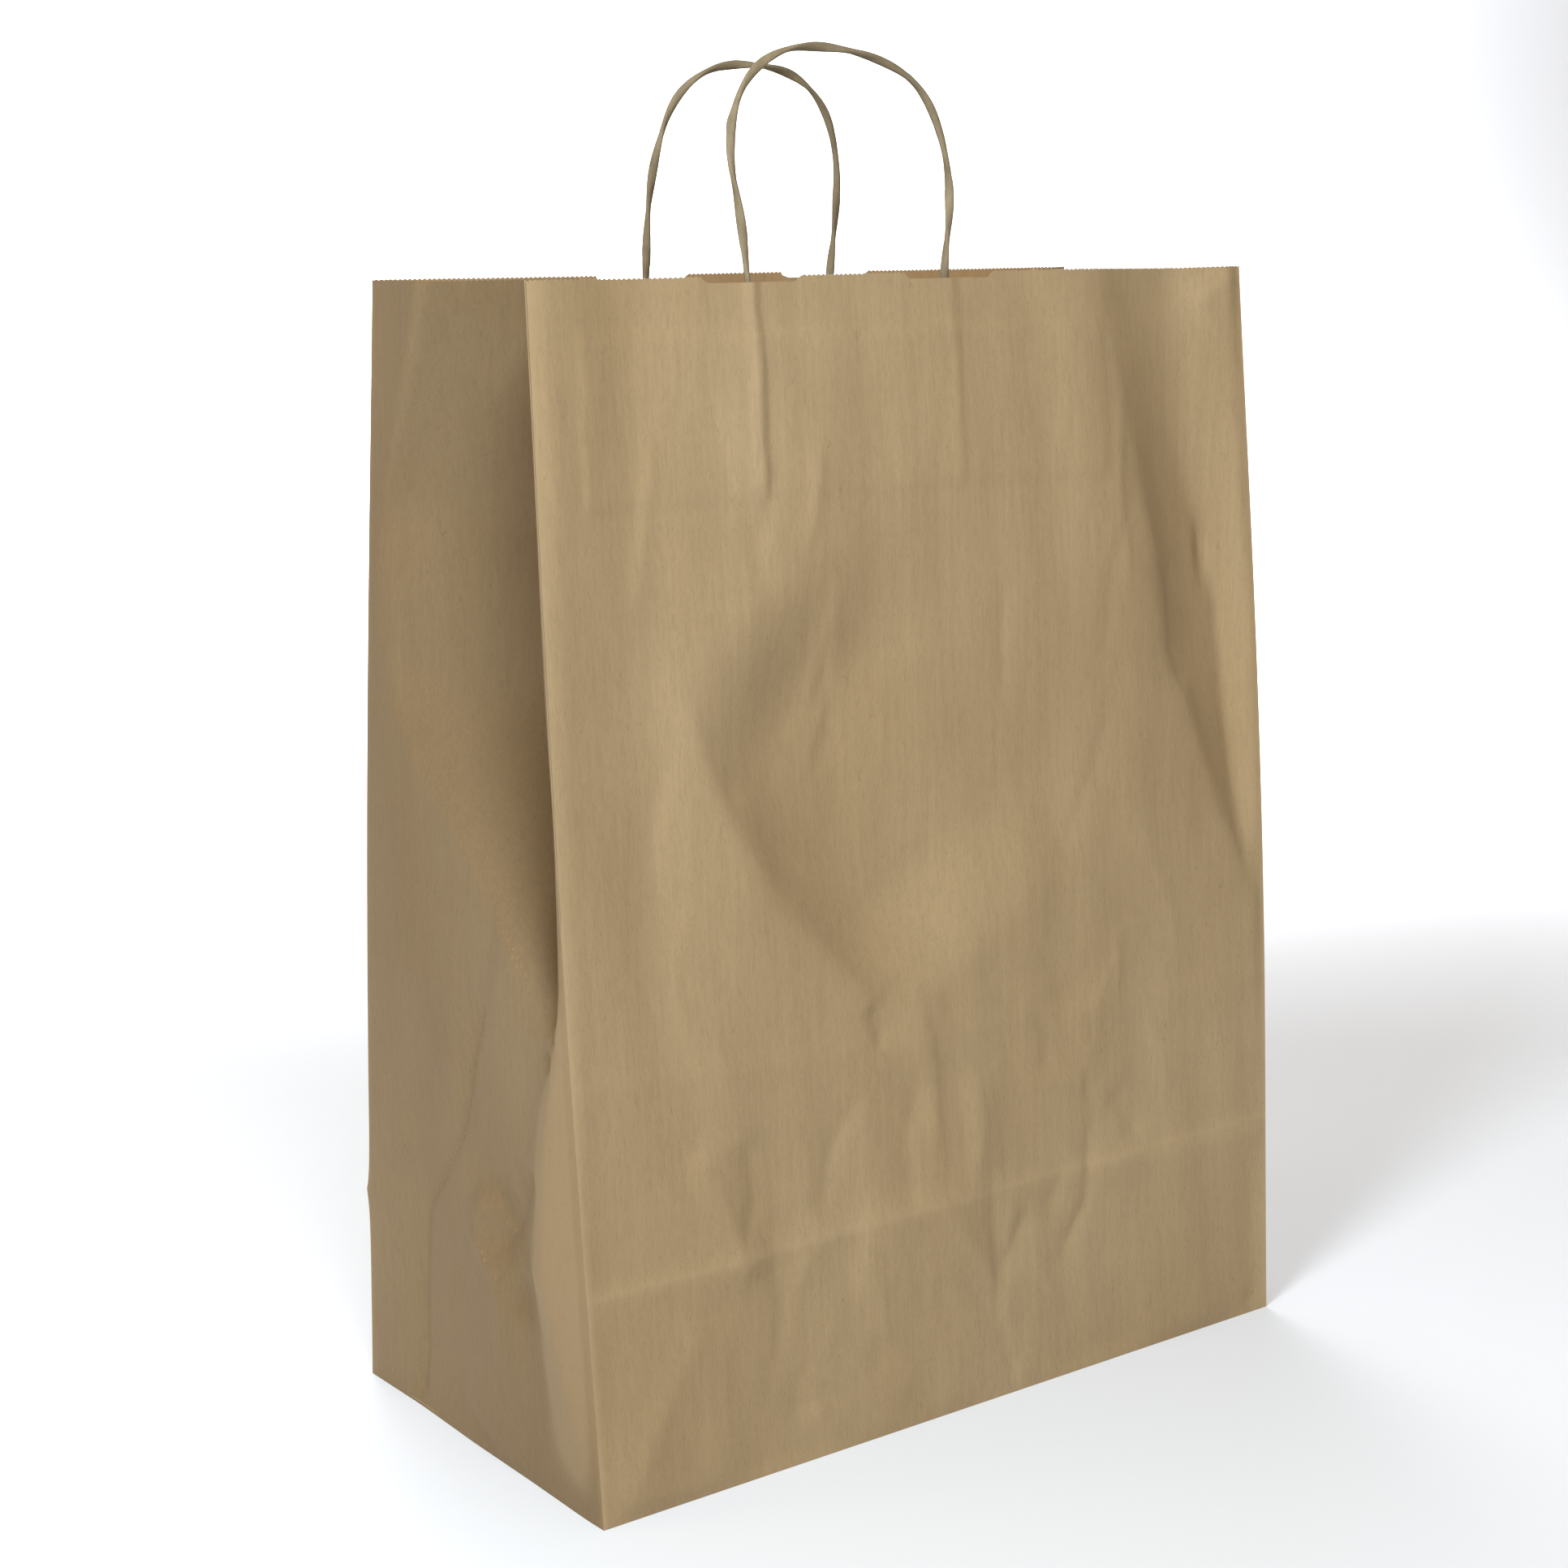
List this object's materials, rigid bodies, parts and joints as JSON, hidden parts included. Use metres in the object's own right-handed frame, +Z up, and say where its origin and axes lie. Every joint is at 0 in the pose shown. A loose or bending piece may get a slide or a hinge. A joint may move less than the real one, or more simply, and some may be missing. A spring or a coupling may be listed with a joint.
{
  "type": "paper gift bag",
  "caption": "Tall block-bottomed kraft paper carrier bag with side gussets folded in, serrated open mouth and twisted paper cord handles on folding hinges.",
  "frame": {"origin": "centre of the rectangle that the bag stands on, on the floor", "axes": "+X along the width of the front wall, +Y from the front wall to the back wall, +Z up"},
  "size_m": [0.33, 0.17, 0.5088],
  "materials": {
    "kraft_paper": "matte",
    "patch_paper": "matte",
    "twisted_cord": "matte"
  },
  "bodies": {
    "root": {"bottom_flap_front": "kraft_paper", "bottom_flap_back": "kraft_paper", "bottom_tuck_left": "kraft_paper", "bottom_tuck_right": "kraft_paper", "left_gusset_front": "kraft_paper", "left_gusset_rear": "kraft_paper", "right_gusset_front": "kraft_paper", "right_gusset_rear": "kraft_paper"},
    "front_wall": {"front_panel": "kraft_paper", "front_patch_backing": "patch_paper", "front_patch_cover": "patch_paper", "front_cord_end_left": "twisted_cord", "front_cord_end_right": "twisted_cord"},
    "back_wall": {"back_panel": "kraft_paper", "side_seam_flap": "kraft_paper", "back_patch_backing": "patch_paper", "back_patch_cover": "patch_paper", "back_cord_end_left": "twisted_cord", "back_cord_end_right": "twisted_cord"},
    "front_handle": {"front_handle_loop": "twisted_cord"},
    "back_handle": {"back_handle_loop": "twisted_cord"}
  },
  "joints": [
    {"name": "front_wall_tilt", "type": "hinge", "parent": "root", "child": "front_wall", "pos_m": [0, -0.085, 0], "axis": [1, 0, 0], "range_deg": [-5, 3.9], "deforming": ["left_gusset_front", "left_gusset_rear", "right_gusset_front", "right_gusset_rear"]},
    {"name": "back_wall_tilt", "type": "hinge", "parent": "root", "child": "back_wall", "pos_m": [0, 0.085, 0], "axis": [1, 0, 0], "range_deg": [-4.8, 4.4], "deforming": ["left_gusset_front", "left_gusset_rear", "right_gusset_front", "right_gusset_rear"]},
    {"name": "front_handle_swing", "type": "hinge", "parent": "front_wall", "child": "front_handle", "pos_m": [0, -0.05346, 0.42885], "axis": [1, 0, 0], "range_deg": [-52, 95]},
    {"name": "back_handle_swing", "type": "hinge", "parent": "back_wall", "child": "back_handle", "pos_m": [0, 0.04673, 0.4283], "axis": [1, 0, 0], "range_deg": [-95, 50]}
  ]
}
